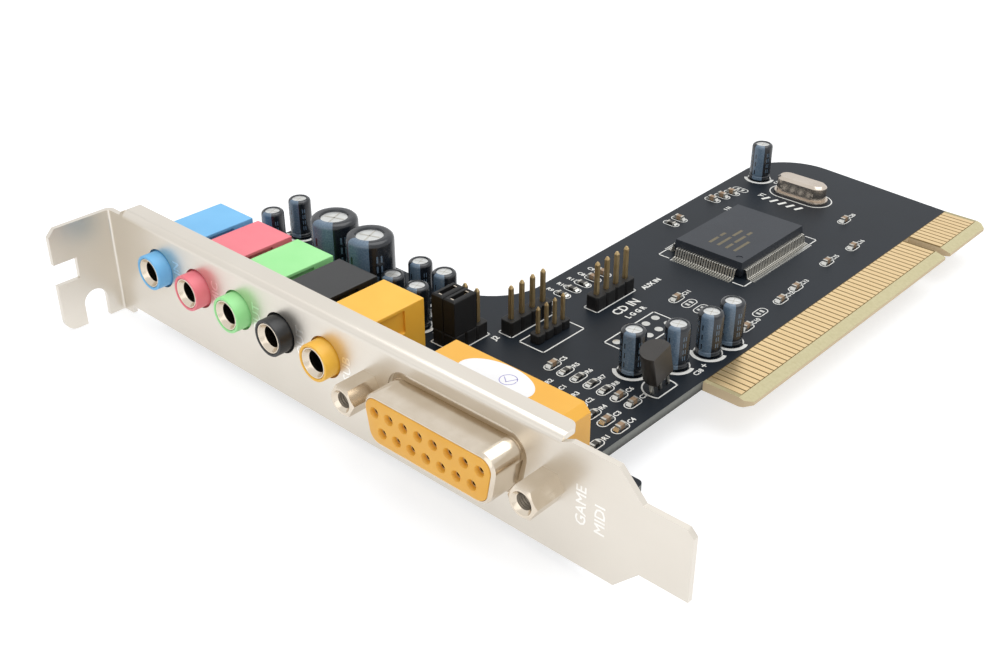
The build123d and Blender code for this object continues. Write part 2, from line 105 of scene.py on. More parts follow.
def card(x, y, z=None):
    """A place on the card: X from the tab's outer face, Y from the bracket's, Z from the strip's foot."""
    level = board_top if z is None else strip_foot + z * MM
    return Vector((bracket_low.x + x * MM, outer_face + y * MM, level))


def middle(name):
    """Middle of a node's box."""
    low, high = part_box(name)
    return (low + high) / 2


def spot(low, high, level=board_top):
    """Middle of a box's outline, on the board or at another level."""
    return Vector(((low.x + high.x) / 2, (low.y + high.y) / 2, level))


def islands(name):
    """Low and high corners of each separate solid in a node."""
    bm = bmesh.new()
    bm.from_mesh(nodes[name].data)
    bmesh.ops.remove_doubles(bm, verts=bm.verts, dist=same_point * MM)
    left = set(bm.verts)
    found = []
    while left:
        stack = [left.pop()]
        points = []
        while stack:
            vert = stack.pop()
            points.append(vert.co.copy())
            for edge in vert.link_edges:
                other = edge.other_vert(vert)
                if other in left:
                    left.remove(other)
                    stack.append(other)
        low = Vector([min(p[i] for p in points) for i in range(3)])
        high = Vector([max(p[i] for p in points) for i in range(3)])
        found.append((low, high))
    bm.free()
    return sorted(found, key=lambda pair: (round(pair[0].y, 5), round(pair[0].x, 5)))


# Shader tools

def colour(code):
    """Linear colour of an sRGB hex value."""
    parts = [int(code[i:i + 2], 16) / 255 for i in (1, 3, 5)]
    return tuple(p / 12.92 if p <= 0.04045 else ((p + 0.055) / 1.055) ** 2.4 for p in parts) + (1.0,)


def add(tree, kind, values=None, links=None):
    """Adds one node, sets its inputs and properties, and links its inputs."""
    made = tree.nodes.new(kind)
    for key, value in (values or {}).items():
        if isinstance(key, int) or key in made.inputs:
            made.inputs[key].default_value = value
        else:
            setattr(made, key, value)
    for key, source in (links or {}).items():
        tree.links.new(source, made.inputs[key])
    return made


def maths(tree, operation, *terms):
    """A sum or a comparison. Each term is a number or the output of another node."""
    made = add(tree, "ShaderNodeMath", {"operation": operation})
    for place, term in enumerate(terms):
        if isinstance(term, (int, float)):
            made.inputs[place].default_value = term
        else:
            tree.links.new(term, made.inputs[place])
    return made.outputs[0]


def blend(tree, share, first, second):
    """A mix of two colours. Each is a hex value or the output of another node."""
    made = add(tree, "ShaderNodeMix", {"data_type": "RGBA"}, {0: share})
    for place, tone in ((6, first), (7, second)):
        if isinstance(tone, str):
            made.inputs[place].default_value = colour(tone)
        else:
            tree.links.new(tone, made.inputs[place])
    return made.outputs[2]


def per_mm(size):
    """Texture scale at which one feature is that many millimetres."""
    return 1 / (size * MM)


def object_place(tree):
    """Place on the object, so that patterns keep their real size."""
    return add(tree, "ShaderNodeTexCoord").outputs["Object"]


def noise(tree, size, detail, where):
    """Soft random spots about that many millimetres wide."""
    values = {"Scale": per_mm(size), "Detail": detail}
    return add(tree, "ShaderNodeTexNoise", values, {"Vector": where}).outputs["Fac"]


def streaks(tree, sizes, detail, where):
    """Random streaks with those lengths in millimetres along X, Y and Z."""
    drawn = add(tree, "ShaderNodeMapping", {"Scale": [per_mm(size) for size in sizes]}, {"Vector": where})
    values = {"Scale": 1.0, "Detail": detail}
    return add(tree, "ShaderNodeTexNoise", values, {"Vector": drawn.outputs["Vector"]}).outputs["Fac"]


def surface(name, code, metallic=0.0, roughness=0.5, **sockets):
    """A material with its even values on the shader's own sockets."""
    made = bpy.data.materials.new(name)
    made.use_nodes = True
    tree = made.node_tree
    shader = tree.nodes["Principled BSDF"]
    shader.inputs["Base Color"].default_value = colour(code)
    shader.inputs["Metallic"].default_value = metallic
    shader.inputs["Roughness"].default_value = roughness
    for key, value in sockets.items():
        shader.inputs[key.replace("_", " ")].default_value = value
    return made, tree, shader


def coat(tree, shader, tone, grain, rough):
    """Links a colour, and a gloss that follows a grain between two roughnesses."""
    gloss = add(tree, "ShaderNodeMapRange", {"To Min": rough[0], "To Max": rough[1]}, {"Value": grain})
    tree.links.new(tone, shader.inputs["Base Color"])
    tree.links.new(gloss.outputs["Result"], shader.inputs["Roughness"])


def emboss(tree, shader, height, strength, depth):
    """Fine relief, with its depth in millimetres."""
    relief = add(tree, "ShaderNodeBump", {"Strength": strength, "Distance": depth * MM}, {"Height": height})
    tree.links.new(relief.outputs["Normal"], shader.inputs["Normal"])


def finish(name, tones, patch, grit, depth, rough, metallic=0.0, **sockets):
    """A material that drifts between two tones in patches, with a fine grit in its gloss and height.

    Patch, grit and depth are in millimetres.
    """
    made, tree, shader = surface(name, tones[1], metallic, sum(rough) / 2, **sockets)
    where = object_place(tree)
    fine = noise(tree, grit, 2.0, where)
    coat(tree, shader, blend(tree, noise(tree, patch, 3.0, where), *tones), fine, rough)
    emboss(tree, shader, fine, 0.35, depth)
    return made


# Materials: metals

def satin_nickel_steel():
    # Rolled steel under dull nickel: warm grey, soft blurred reflections, faint streaks along the strip
    made, tree, shader = surface("satin_nickel_on_steel", "#DED8CD", 1.0, 0.34)
    where = object_place(tree)
    streak = streaks(tree, (14, 0.5, 0.5), 4.0, where)
    cloud = noise(tree, 22, 2.0, where)
    coat(tree, shader, blend(tree, cloud, "#D4CDC2", "#E7E1D7"), streak, (0.28, 0.4))
    emboss(tree, shader, streak, 0.15, 0.01)
    return made


def gold_plate():
    # Thin hard gold over nickel on the edge contacts: pale, satin, with wiping marks along the contact
    made, tree, shader = surface("hard_gold_plate", "#E6C894", 1.0, 0.3)
    wipe = streaks(tree, (5, 0.12, 1), 3.0, object_place(tree))
    coat(tree, shader, blend(tree, wipe, "#DDBA80", "#F2DCB2"), wipe, (0.22, 0.42))
    return made


steel = satin_nickel_steel()
gold = gold_plate()
# Letters struck into the bracket: the pressed nickel is burnished and looks whiter than the sheet
coined = finish("coined_nickel", ("#F2EFE9", "#FFFEFB"), 0.8, 0.1, 0.003, (0.24, 0.36), metallic=1.0)
# Turned and drawn metal under bright nickel: clear reflections, slightly yellow
nickel = finish("bright_nickel_plate", ("#CCBEAA", "#E4DACB"), 3.0, 0.15, 0.002, (0.14, 0.26), metallic=1.0)
# Inside jack bushes and jackscrew holes: rougher nickel, painted grey brown as shade deep in the hole
shaded_nickel = finish("dull_nickel_painted_shade", ("#5E564C", "#7F776B"), 1.0, 0.1, 0.006, (0.26, 0.4), metallic=1.0)
# Square brass wire with a flash of gold, browned by handling
brass = finish("gold_flash_on_brass", ("#B99E6E", "#DEC79A"), 1.5, 0.1, 0.004, (0.36, 0.52), metallic=1.0)
# Contact sleeve deep in each socket: painted dark brown as the shade deep in the hole
socket_shade_bronze = finish("phosphor_bronze_painted_shade", ("#4A3218", "#6E4E2A"), 0.5, 0.1, 0.004, (0.4, 0.6), metallic=1.0)
# Dipped tin on leads and pads: grey white, slightly uneven gloss
tin = finish("tinned_copper", ("#B2AFA6", "#DAD8D1"), 0.8, 0.1, 0.006, (0.25, 0.48), metallic=1.0)
# Cooled solder: bright, smooth, a little wavy
solder = finish("tin_solder", ("#BDBDB8", "#E0E0DC"), 0.7, 0.25, 0.02, (0.16, 0.34), metallic=1.0)
# Drawn steel can of the crystal: satin, faintly brushed
can_steel = finish("drawn_steel", ("#C0B3A5", "#D6CCC1"), 4.0, 0.2, 0.001, (0.2, 0.3), metallic=1.0)
# Pressed aluminium top of a capacitor: pale, satin
aluminium = finish("pressed_aluminium", ("#C8CAC9", "#E8E9E7"), 1.2, 0.1, 0.006, (0.3, 0.45), metallic=1.0)


# Materials: plastics, ceramics, inks and paper

# Glass filled polyester from a polished mould: even colour, soft highlight, very slight flow marks
plastic_tones = {
    "blue": ("#68B3E8", "#7CC5F3"),
    "pink": ("#EC6E7C", "#F58690"),
    "green": ("#92E48E", "#ACF2A6"),
    "black": ("#141516", "#1D1E20"),
    "orange": ("#F4B433", "#FBC548"),
    "yellow": ("#EBAA34", "#F4BA49"),
}
plastics = {name: finish("moulded_polyester_" + name, tones, 6.0, 0.12, 0.006, (0.32, 0.46), IOR=1.52)
            for name, tones in plastic_tones.items()}
# Black nylon of the header bases and jumper caps, and painted shade deep in jack bores: deep black, dull
# sheen
nylon = finish("moulded_nylon_black", ("#0E0E0F", "#171718"), 2.0, 0.1, 0.008, (0.48, 0.62),
               IOR=1.53, Specular_IOR_Level=0.3)
# Transfer moulded epoxy of the chip: charcoal, fine sand-like matt
epoxy = finish("moulded_epoxy", ("#191E26", "#252B34"), 5.0, 0.08, 0.012, (0.4, 0.56),
               IOR=1.56, Specular_IOR_Level=0.4)
# Transfer moulded epoxy of the regulator: brown black, smoother than the chip
brown_epoxy = finish("moulded_epoxy_brown", ("#1C1916", "#2A2622"), 3.0, 0.08, 0.01, (0.34, 0.48),
                     IOR=1.56, Specular_IOR_Level=0.42)
# Laser marks on the chip: thin tan bars burnt into the epoxy
burnt = finish("laser_burnt_epoxy", ("#564F3D", "#746A50"), 0.6, 0.08, 0.004, (0.52, 0.68), IOR=1.56)
# Shrunk polyester sleeve: near black with a blue cast, glossy
sleeve = finish("shrunk_sleeve_dark", ("#101318", "#1B222B"), 2.0, 0.3, 0.01, (0.18, 0.32), IOR=1.57)
# Printed polarity stripe on the sleeve: slate blue, same gloss
stripe = finish("sleeve_print_slate", ("#52667A", "#6A7F93"), 2.0, 0.3, 0.01, (0.2, 0.34), IOR=1.57)
# Black glaze over the film of a chip resistor
glaze = finish("glazed_film_black", ("#1E1C19", "#35322B"), 0.6, 0.1, 0.004, (0.22, 0.4), IOR=1.5)
# Fired ceramic body of a chip capacitor: tan brown, dull
ceramic = finish("fired_ceramic_tan", ("#7C634B", "#A58A6D"), 0.6, 0.08, 0.004, (0.42, 0.6), IOR=1.6)
# Screen printed epoxy ink: matt white, a little thin
ink = finish("screen_print_white", ("#D5D5D0", "#F2F2EF"), 0.6, 0.1, 0.004, (0.5, 0.7), IOR=1.5)
# Coated white paper of the sticker
paper = finish("coated_paper", ("#EDEDEE", "#FAFAFA"), 3.0, 0.1, 0.003, (0.38, 0.55), IOR=1.48)
# Ball pen ink on the sticker
pen = finish("pen_ink_violet", ("#7E76BA", "#A49DD2"), 0.5, 0.1, 0.002, (0.45, 0.6), IOR=1.45)


def masked_laminate():
    # Glass cloth laminate: black solder mask on its faces, bare brown laminate between the gold
    # contacts and straw coloured round them, grey saw-cut edges painted darker towards the solder side as
    # shade
    made, tree, shader = surface("solder_mask_on_glass_laminate", "#10171F", 0.0, 0.5,
                                 IOR=1.52, Specular_IOR_Level=0.23)
    geometry = add(tree, "ShaderNodeNewGeometry").outputs
    place = geometry["Position"]
    parts = add(tree, "ShaderNodeSeparateXYZ", None, {0: place}).outputs
    facing = add(tree, "ShaderNodeSeparateXYZ", None, {0: geometry["True Normal"]}).outputs
    cloth = noise(tree, 0.5, 3.0, place)
    cut = maths(tree, "LESS_THAN", maths(tree, "ABSOLUTE", facing["Z"]), 0.5)
    past_x = maths(tree, "GREATER_THAN", parts["X"], contacts_low.x - 0.15 * MM)
    past_y = maths(tree, "GREATER_THAN", parts["Y"], contacts_low.y - 1.6 * MM)
    bare = maths(tree, "MULTIPLY", past_x, past_y)
    tip = maths(tree, "GREATER_THAN", parts["X"], contacts_high.x + 0.1 * MM)
    row_middle = (contacts_low.y + contacts_high.y) / 2
    row_half = (contacts_high.y - contacts_low.y) / 2
    apart = maths(tree, "ABSOLUTE", maths(tree, "SUBTRACT", parts["Y"], row_middle))
    row_end = maths(tree, "GREATER_THAN", apart, row_half + 0.05 * MM)
    round_row = maths(tree, "MAXIMUM", tip, maths(tree, "MULTIPLY", row_end, 0.6))
    straw = blend(tree, round_row, "#6A5730", blend(tree, cloth, "#B7AE86", "#CFC7A2"))
    mask = blend(tree, noise(tree, 9, 3.0, place), "#0D141B", "#151D26")
    # Painted shade: the saw-cut edge grows darker from the top down to the solder side, over the glass weave
    rise = add(tree, "ShaderNodeMapRange", {"From Min": board_under, "From Max": board_top - 0.5 * MM},
               {"Value": parts["Z"]})
    glass = maths(tree, "MULTIPLY_ADD", cloth, 0.5, -0.25)
    edge_shade_and_weave = add(tree, "ShaderNodeMath", {"operation": "ADD", "use_clamp": True},
                {0: rise.outputs["Result"], 1: glass})
    edge = blend(tree, edge_shade_and_weave.outputs[0], "#3E3F3D", "#7E807B")
    face = blend(tree, bare, mask, straw)
    saw = blend(tree, bare, edge, "#D0BC9A")
    coat(tree, shader, blend(tree, cut, face, saw), maths(tree, "MAXIMUM", bare, cut), (0.48, 0.65))
    emboss(tree, shader, cloth, 0.2, 0.01)
    return made


laminate = masked_laminate()


# Mesh tools

def piece(name, bm, materials, stands_for=(), smooth=35):
    """Turns a bmesh into a piece of the card that rides on its one body."""
    bmesh.ops.remove_doubles(bm, verts=bm.verts, dist=same_point * MM)
    bmesh.ops.recalc_face_normals(bm, faces=bm.faces)
    mesh = bpy.data.meshes.new(name)
    bm.to_mesh(mesh)
    bm.free()
    for material in materials:
        mesh.materials.append(material)
    mesh.polygons.foreach_set("use_smooth", [True] * len(mesh.polygons))
    mesh.set_sharp_from_angle(angle=math.radians(smooth))
    made = bpy.data.objects.new(name, mesh)
    bpy.context.scene.collection.objects.link(made)
    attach(made, "root")
    if stands_for:
        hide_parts(*stands_for)


def bridge(bm, first, second, material=0):
    """Faces between two closed loops of points."""
    for i in range(len(first)):
        j = (i + 1) % len(first)
        bm.faces.new((first[i], first[j], second[j], second[i])).material_index = material


def tube(bm, loops, material=0):
    """A skin through closed loops of points, shut at both ends."""
    for first, second in zip(loops, loops[1:]):
        bridge(bm, first, second, material)
    for end in (loops[0], loops[-1]):
        bm.faces.new(end).material_index = material


def brick(bm, low, high, material=0):
    """A box given by two corners."""
    corners = ((low.x, low.y), (high.x, low.y), (high.x, high.y), (low.x, high.y))
    tube(bm, [[bm.verts.new((x, y, z)) for x, y in corners] for z in (low.z, high.z)], material)


def spun(centre, radius, angle, height, axis):
    """A point on a circle round the axis, at a height along it."""
    across = radius * math.cos(angle)
    up = radius * math.sin(angle)
    if axis == "z":
        return centre + Vector((across, up, height))
    return centre + Vector((across, height, up))


def circle(bm, centre, radius, height, axis, segments):
    """Points round an axis, or one point on it where the radius is nought."""
    count = segments if radius else 1
    angles = [2 * math.pi * i / segments for i in range(count)]
    return [bm.verts.new(spun(centre, radius, angle, height, axis)) for angle in angles]


def turned(bm, centre, profile, axis="z", segments=40, pick=None):
    """Turns a profile of (radius, height, material) points round an axis through centre."""
    rings = [circle(bm, centre, radius, height, axis, segments) for radius, height, _ in profile]
    for first, second, (_, _, material) in zip(rings, rings[1:], profile):
        for i in range(segments):
            j = (i + 1) % segments
            near = [first[i % len(first)], first[j % len(first)]]
            far = [second[j % len(second)], second[i % len(second)]]
            corners = list(dict.fromkeys(near + far))
            if len(corners) > 2:
                face = bm.faces.new(corners)
                face.material_index = pick(material, i / segments) if pick else material


def arc_band(bm, centre, inner, outer, start, stop, steps, thick=ink_thickness * MM, material=0):
    """A flat band along an arc, lying on Z."""
    rise = Vector((0, 0, thick))
    rows = []
    for i in range(steps + 1):
        angle = math.radians(start + (stop - start) * i / steps)
        ray = Vector((math.cos(angle), math.sin(angle), 0))
        near = centre + ray * inner
        far = centre + ray * outer
        rows.append([bm.verts.new(p) for p in (near, far, far + rise, near + rise)])
    tube(bm, rows, material)


def bar(bm, start, stop, width=line_width * MM, thick=ink_thickness * MM, material=0):
    """A flat straight bar from one point to another, lying on Z, square at its ends."""
    along = (stop - start).normalized() * width / 2
    side = Vector((-along.y, along.x, 0))
    rise = Vector((0, 0, thick))
    foot = [start - along - side, start - along + side, stop + along + side, stop + along - side]
    tube(bm, [[bm.verts.new(p) for p in foot], [bm.verts.new(p + rise) for p in foot]], material)


def framed(bm, low, high):
    """A rectangle printed on the board between two corners."""
    places = ((low.x, low.y), (high.x, low.y), (high.x, high.y), (low.x, high.y))
    ring = [Vector((x, y, board_top)) for x, y in places]
    for start, stop in zip(ring, ring[1:] + ring[:1]):
        bar(bm, start, stop)


def words(bm, text, size, origin, along, up, bold=0.03):
    """Letters of the plain built-in font, laid on a surface."""
    curve = bpy.data.curves.new("letters", "FONT")
    curve.body = text
    curve.size = size * MM
    curve.extrude = ink_thickness / 2 * MM
    curve.offset = bold * MM
    curve.resolution_u = 2
    holder = bpy.data.objects.new("letters", curve)
    mesh = bpy.data.meshes.new_from_object(holder)
    place = Matrix((along, up, along.cross(up))).transposed().to_4x4()
    place.translation = origin
    mesh.transform(place)
    bm.from_mesh(mesh)
    bpy.data.objects.remove(holder)
    bpy.data.curves.remove(curve)
    bpy.data.meshes.remove(mesh)


# Finishes of the solids that stay as they are

def dress(name, material, round_edge=0.0):
    """Gives a solid its finish and, where asked, lightly broken edges."""
    solid = nodes[name]
    solid.data.materials.clear()
    solid.data.materials.append(material)
    if round_edge:
        weld = solid.modifiers.new("weld", "WELD")
        weld.merge_threshold = 0.001 * MM
        edges = solid.modifiers.new("edges", "BEVEL")
        edges.width = round_edge * MM
        edges.segments = 2
        edges.limit_method = "ANGLE"
        edges.angle_limit = math.radians(40)


def dress_solids():
    dress("edge_contacts_component_side", gold)
    dress("edge_contacts_solder_side", gold)
    dress("slot_bracket", steel, 0.12)
    dress("game_port_shell", nickel, 0.15)
    dress("game_port_contacts", gold)
    dress("game_port_housing", plastics["yellow"], 0.15)
    dress("audio_chip_body", epoxy, 0.1)
    dress("crystal_base", can_steel, 0.12)
    dress("crystal_can", can_steel, 0.15)
    dress("regulator_body", brown_epoxy, 0.12)
    dress("regulator_leads", tin)
    for name in jack_names:
        dress("jack_housing_" + name, plastics[name], 0.15)
    for name in header_names:
        dress(name + "_base", nylon, 0.15)
        dress(name + "_pins", brass)
    for name in ("jumper_cap_1", "jumper_cap_2"):
        dress(name, nylon, 0.12)


# Pieces that stand for plainer solids

def board_laminate():
    """The board, with the edges of its wide part moved in to the lines that the view shows."""
    bm = bmesh.new()
    bm.from_mesh(nodes["circuit_board"].data)
    bmesh.ops.remove_doubles(bm, verts=bm.verts, dist=0.001 * MM)
    bmesh.ops.dissolve_limit(bm, angle_limit=math.radians(1), verts=bm.verts, edges=bm.edges)
    (x0, y0), (x1, y1) = solid_corner
    (new_x0, new_y0), (new_x1, new_y1) = seen_corner
    for vert in bm.verts:
        x = (vert.co.x - bracket_low.x) / MM
        y = (vert.co.y - outer_face) / MM
        if x < x1 + 0.1 and y > back_edge_limit:
            y += new_y0 - y0
            if x > x0 - 0.1:
                y = new_y0 + (y - new_y0) * (new_y1 - new_y0) / (y1 - y0)
                vert.co.x = card(new_x0 + (x - x0) * (new_x1 - new_x0) / (x1 - x0), 0).x
            vert.co.y = card(0, y).y
        if x < left_edge_limit:
            vert.co.x += left_edge_shift * MM
    piece("board_laminate", bm, [laminate], ["circuit_board"])


def capacitor_can(bm, low, high):
    """One can: groove near the foot, sleeve shrunk over a round shoulder, bare disc with a scored cross."""
    radius = (high.x - low.x) / 2
    height = high.z - low.z
    centre = spot(low, high, low.z)
    groove = 0.93 * radius
    curl = 0.35 * MM + 0.14 * radius
    lip = 0.25 * MM + 0.55 * radius
    disc = height - 0.1 * radius
    profile = [
        (0, 0.02 * height, 0),
        (0.92 * radius, 0.02 * height, 0),
        (radius, 0.05 * height, 0),
        (radius, 0.11 * height, 0),
        (groove, 0.135 * height, 0),
        (groove, 0.15 * height, 0),
        (radius, 0.175 * height, 0),
        (radius, height - curl, 0),
        (radius - 0.13 * curl, height - 0.5 * curl, 0),
        (radius - 0.5 * curl, height - 0.13 * curl, 0),
        (radius - curl, height, 0),
        (lip, height - 0.02 * radius, 0),
        (lip - 0.05 * radius, disc, 2),
        (0, disc, 2),
    ]

    stripe_start, stripe_stop = 0.70, 0.86

    def sleeve_part(material, turn):
        return 1 if material == 0 and stripe_start < turn < stripe_stop else material

    turned(bm, centre, profile, segments=48, pick=sleeve_part)
    level = centre + Vector((0, 0, disc))
    for angle in (20, 110):
        ray = Vector((math.cos(math.radians(angle)), math.sin(math.radians(angle)), 0)) * lip * 0.7
        bar(bm, level - ray, level + ray, 0.06 * radius, 0.012 * radius, 3)
    # Dark dashes down the stripe, then rows of slate dashes like small print on both sides of it
    for foot in (0.2, 0.42, 0.64):
        sleeve_mark(bm, centre, radius, (0.737, 0.753), (foot * height, (foot + 0.12) * height), 0)
    for turn in (0.60, 0.635, 0.665, 0.92, 0.95):
        for step in range(4):
            foot = (0.25 + 0.15 * step) * height
            sleeve_mark(bm, centre, radius, (turn, turn + 0.012), (foot, foot + 0.1 * height), 1)


def sleeve_mark(bm, centre, radius, turns, heights, material):
    """A small printed patch on a sleeve, between two parts of a turn and two heights."""
    start, stop = turns
    foot, top = heights
    proud = radius + 0.012 * MM
    corners = ((radius, foot), (proud, foot), (proud, top), (radius, top))
    rows = [[bm.verts.new(spun(centre, r, 2 * math.pi * turn, z, "z")) for r, z in corners]
            for turn in (start, (start + stop) / 2, stop)]
    tube(bm, rows, material)


def capacitors(name):
    bm = bmesh.new()
    for low, high in islands(name):
        capacitor_can(bm, low, high)
    piece(name + "_sleeved", bm, [sleeve, stripe, aluminium, tin], [name])


def laid(bm, low, high, draw):
    """Draws in a chip part's box, a quarter turned for the parts that lie across the board's left edge."""
    first = len(bm.verts)
    draw(bm, low, high)
    centre = (low + high) / 2
    if centre.x < card(across_limit, 0).x:
        turn = Matrix.Rotation(math.radians(-90), 3, "Z")
        bmesh.ops.rotate(bm, verts=list(bm.verts)[first:], cent=centre, matrix=turn)


def chip_body(bm, low, high):
    """One chip part: body, wrapped end caps, solder at both ends."""
    cap = 0.35 * MM
    proud = 0.02 * MM
    body_low = Vector((low.x + proud, low.y + cap, low.z))
    body_high = Vector((high.x - proud, high.y - cap, high.z - proud))
    brick(bm, body_low, body_high, 0)
    brick(bm, low, Vector((high.x, low.y + cap, high.z)), 1)
    brick(bm, Vector((low.x, high.y - cap, low.z)), high, 1)
    solder_foot(bm, low, high, low.y, -1)
    solder_foot(bm, low, high, high.y, 1)


def solder_foot(bm, low, high, end, side):
    """The solder fillet that climbs the end of a chip part."""
    climb = 0.6 * (high.z - low.z)
    spill = 0.05 * MM
    reach = end + side * 0.4 * MM
    rings = []
    for y, wider, rise in ((end, 0, climb), (reach, spill, pad_thickness * MM)):
        x0, x1 = low.x - wider, high.x + wider
        corners = ((x0, low.z), (x0, low.z + rise), (x1, low.z + rise), (x1, low.z))
        rings.append([bm.verts.new((x, y, z)) for x, z in corners])
    tube(bm, rings, 2)


def chip_parts(name, body):
    """All chip parts of one kind, on their pads."""
    bm = bmesh.new()
    for low, high in islands(name):
        laid(bm, low, high, chip_body)
    piece(name + "_with_ends", bm, [body, tin, solder], [name])


def gull_leads():
    """Leads of the audio chip, bent down and out to their feet, on tinned pads."""
    bm = bmesh.new()
    body_low, body_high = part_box("audio_chip_body")
    span_low, span_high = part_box("audio_chip_leads")
    centre = spot(span_low, span_high)
    reach = body_low.x - span_low.x
    top = span_high.z - board_top
    thick = chip_lead_thickness * MM
    pad_top = 0.1 * thick
    pad_end = reach + lead_pad_reach * MM
    lead = [
        (0, top), (0.3 * reach, top), (0.4 * reach, top - 0.4 * thick), (0.6 * reach, 1.5 * thick),
        (0.68 * reach, thick), (reach, thick), (reach, pad_top), (0.6 * reach, pad_top),
        (0.5 * reach, 0.7 * thick), (0.3 * reach, top - thick), (0, top - thick),
    ]
    pad = [(0.45 * reach, pad_top), (pad_end, pad_top), (pad_end, 0), (0.45 * reach, 0)]
    x_row = (body_high.x - centre.x, body_high.y - body_low.y)
    y_row = (body_high.y - centre.y, body_high.x - body_low.x)
    for turn, (edge, room) in ((0, x_row), (90, y_row), (180, x_row), (270, y_row)):
        spin = Matrix.Rotation(math.radians(turn), 4, "Z")
        count = int((room / MM - 1) / chip_lead_pitch)
        for i in range(count):
            y = (i - (count - 1) / 2) * chip_lead_pitch * MM
            for material, (shape, width) in enumerate(((lead, chip_lead_width), (pad, lead_pad_width))):
                sides = [y - width / 2 * MM, y + width / 2 * MM]
                tube(bm, [[bm.verts.new(spin @ Vector((edge + x, side, z)) + centre) for x, z in shape]
                          for side in sides], material)
    piece("audio_chip_gull_leads", bm, [tin, solder], ["audio_chip_leads"])


def ferrules():
    """Turned bushes with a flared mouth in each jack, their bore painted darker inwards as shade."""
    for name in jack_names:
        low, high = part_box("jack_ferrule_" + name)
        radius = (high.z - low.z) / 2
        bore = 1.75 * MM
        length = high.y - low.y
        centre = Vector(((low.x + high.x) / 2, low.y, (low.z + high.z) / 2))
        # Painted shade down the bore: grey brown nickel past the mouth, then black nylon deeper in and across
        # the back
        profile = [
            (radius, 0.1 * MM, 0),
            (radius - 0.08 * MM, 0, 0),
            (radius - 0.22 * MM, 0, 0),
            (radius - 0.3 * MM, 0.1 * MM, 0),
            (bore + 0.2 * MM, 0.6 * MM, 0),
            (bore, 0.8 * MM, 1),
            (bore, 2.4 * MM, 2),
            (bore, length, 2),
            (radius, length, 0),
            (radius, 0.1 * MM, 0),
        ]
        stop = length - 0.4 * MM
        bm = bmesh.new()
        turned(bm, centre, profile, axis="y", segments=48)
        turned(bm, centre, [(0, stop, 2), (bore, stop, 2)], axis="y", segments=48)
        piece("jack_bush_" + name, bm, [nickel, shaded_nickel, nylon], ["jack_ferrule_" + name])


def jumper_springs():
    """Ends of the folded metal strip that stand in each jumper cap's slot."""
    half = 0.42 * MM
    inset = 0.62 * MM
    strip = 0.28 * MM
    deep = 0.9 * MM
    shy = 0.12 * MM
    bm = bmesh.new()
    for name in ("jumper_cap_1", "jumper_cap_2"):
        low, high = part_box(name)
        x = (low.x + high.x) / 2
        for y in (low.y + inset, high.y - inset - strip):
            brick(bm, Vector((x - half, y, high.z - deep)), Vector((x + half, y + strip, high.z - shy)))
    piece("jumper_springs", bm, [nickel])


def d_loops(bm, name, level, steps):
    """Skin through D outlines: a solid's outline at one level, spread by an amount at each depth."""
    flat = [Vector((v.co.x, v.co.z)) for v in nodes[name].data.vertices if abs(v.co.y - level) < 0.01 * MM]
    rim = [flat[i] for i in convex_hull_2d(flat)]
    low = Vector((min(p.x for p in rim), min(p.y for p in rim)))
    high = Vector((max(p.x for p in rim), max(p.y for p in rim)))
    centre = (low + high) / 2
    half = (high - low) / 2
    loops = []
    for y, spread in steps:
        grow = Vector((1 + spread / half.x, 1 + spread / half.y))
        places = [centre + (p - centre) * grow for p in rim]
        loops.append([bm.verts.new((p.x, y, p.y)) for p in places])
    for first, second in zip(loops, loops[1:]):
        bridge(bm, first, second)
    return loops


def shell_flare():
    """The drawn curve where the port's skirt spreads into its flange, inside the bracket's cut-out."""
    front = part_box("game_port_shell")[0].y
    reach = 0.85 * MM
    wide = shell_edge_cut * MM
    buried = wide - 0.1 * MM
    seat = outer_face + bracket_sheet * MM
    curve = [(seat, buried), (seat, wide + reach)]
    for i in range(1, 7):
        angle = math.radians(15 * i)
        curve.append((seat - reach * (1 - math.cos(angle)), wide + reach * (1 - math.sin(angle))))
    curve += [(seat - reach, buried), (seat, buried)]
    bm = bmesh.new()
    d_loops(bm, "game_port_shell", front, curve)
    piece("game_port_shell_flare", bm, [nickel])


def port_face():
    """The port's moulded face: D shaped, edges eased, fifteen countersunk round sockets, painted shade
    inside.
    """
    low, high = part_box("game_port_insulator")
    front, back = low.y, high.y
    ease = 0.2 * MM
    segments = 24
    bm = bmesh.new()
    steps = ((back, 0), (front + ease, 0), (front + 0.3 * ease, -0.3 * ease), (front, -ease))
    loops = d_loops(bm, "game_port_insulator", front, steps)
    bm.faces.new(loops[0])
    rims = [loops[-1]]
    for near, far in islands("game_port_contacts"):
        centre = Vector(((near.x + far.x) / 2, front, (near.z + far.z) / 2))
        rings = [circle(bm, centre, radius * MM, depth * MM, "y", segments)
                 for radius, depth in ((0.86, 0), (0.64, 0.3), (0.6, 0.6), (0.36, 0.6), (0.36, 1.4))]
        # Past the contact's brass front, each socket's bore and floor are painted dark brown as shade
        for material, first, second in zip((0, 0, 1, 2), rings, rings[1:]):
            bridge(bm, first, second, material)
        bm.faces.new(rings[-1]).material_index = 2
        rims.append(rings[0])
    edges = [bm.edges.get((rim[i - 1], rim[i])) for rim in rims for i in range(len(rim))]
    bmesh.ops.triangle_fill(bm, use_beauty=True, edges=edges)
    materials = [plastics["yellow"], brass, socket_shade_bronze]
    piece("game_port_face", bm, materials, ["game_port_insulator"])


def hex_ring(bm, centre, flat, depth, segments):
    """Points round a hexagon with two level flats, each at a depth given by its radius."""
    ring = []
    for i in range(segments):
        angle = 2 * math.pi * i / segments
        radius = flat / math.cos(angle % (math.pi / 3) - math.pi / 6)
        ring.append(bm.verts.new(spun(centre, radius, angle, depth(radius), "y")))
    return ring


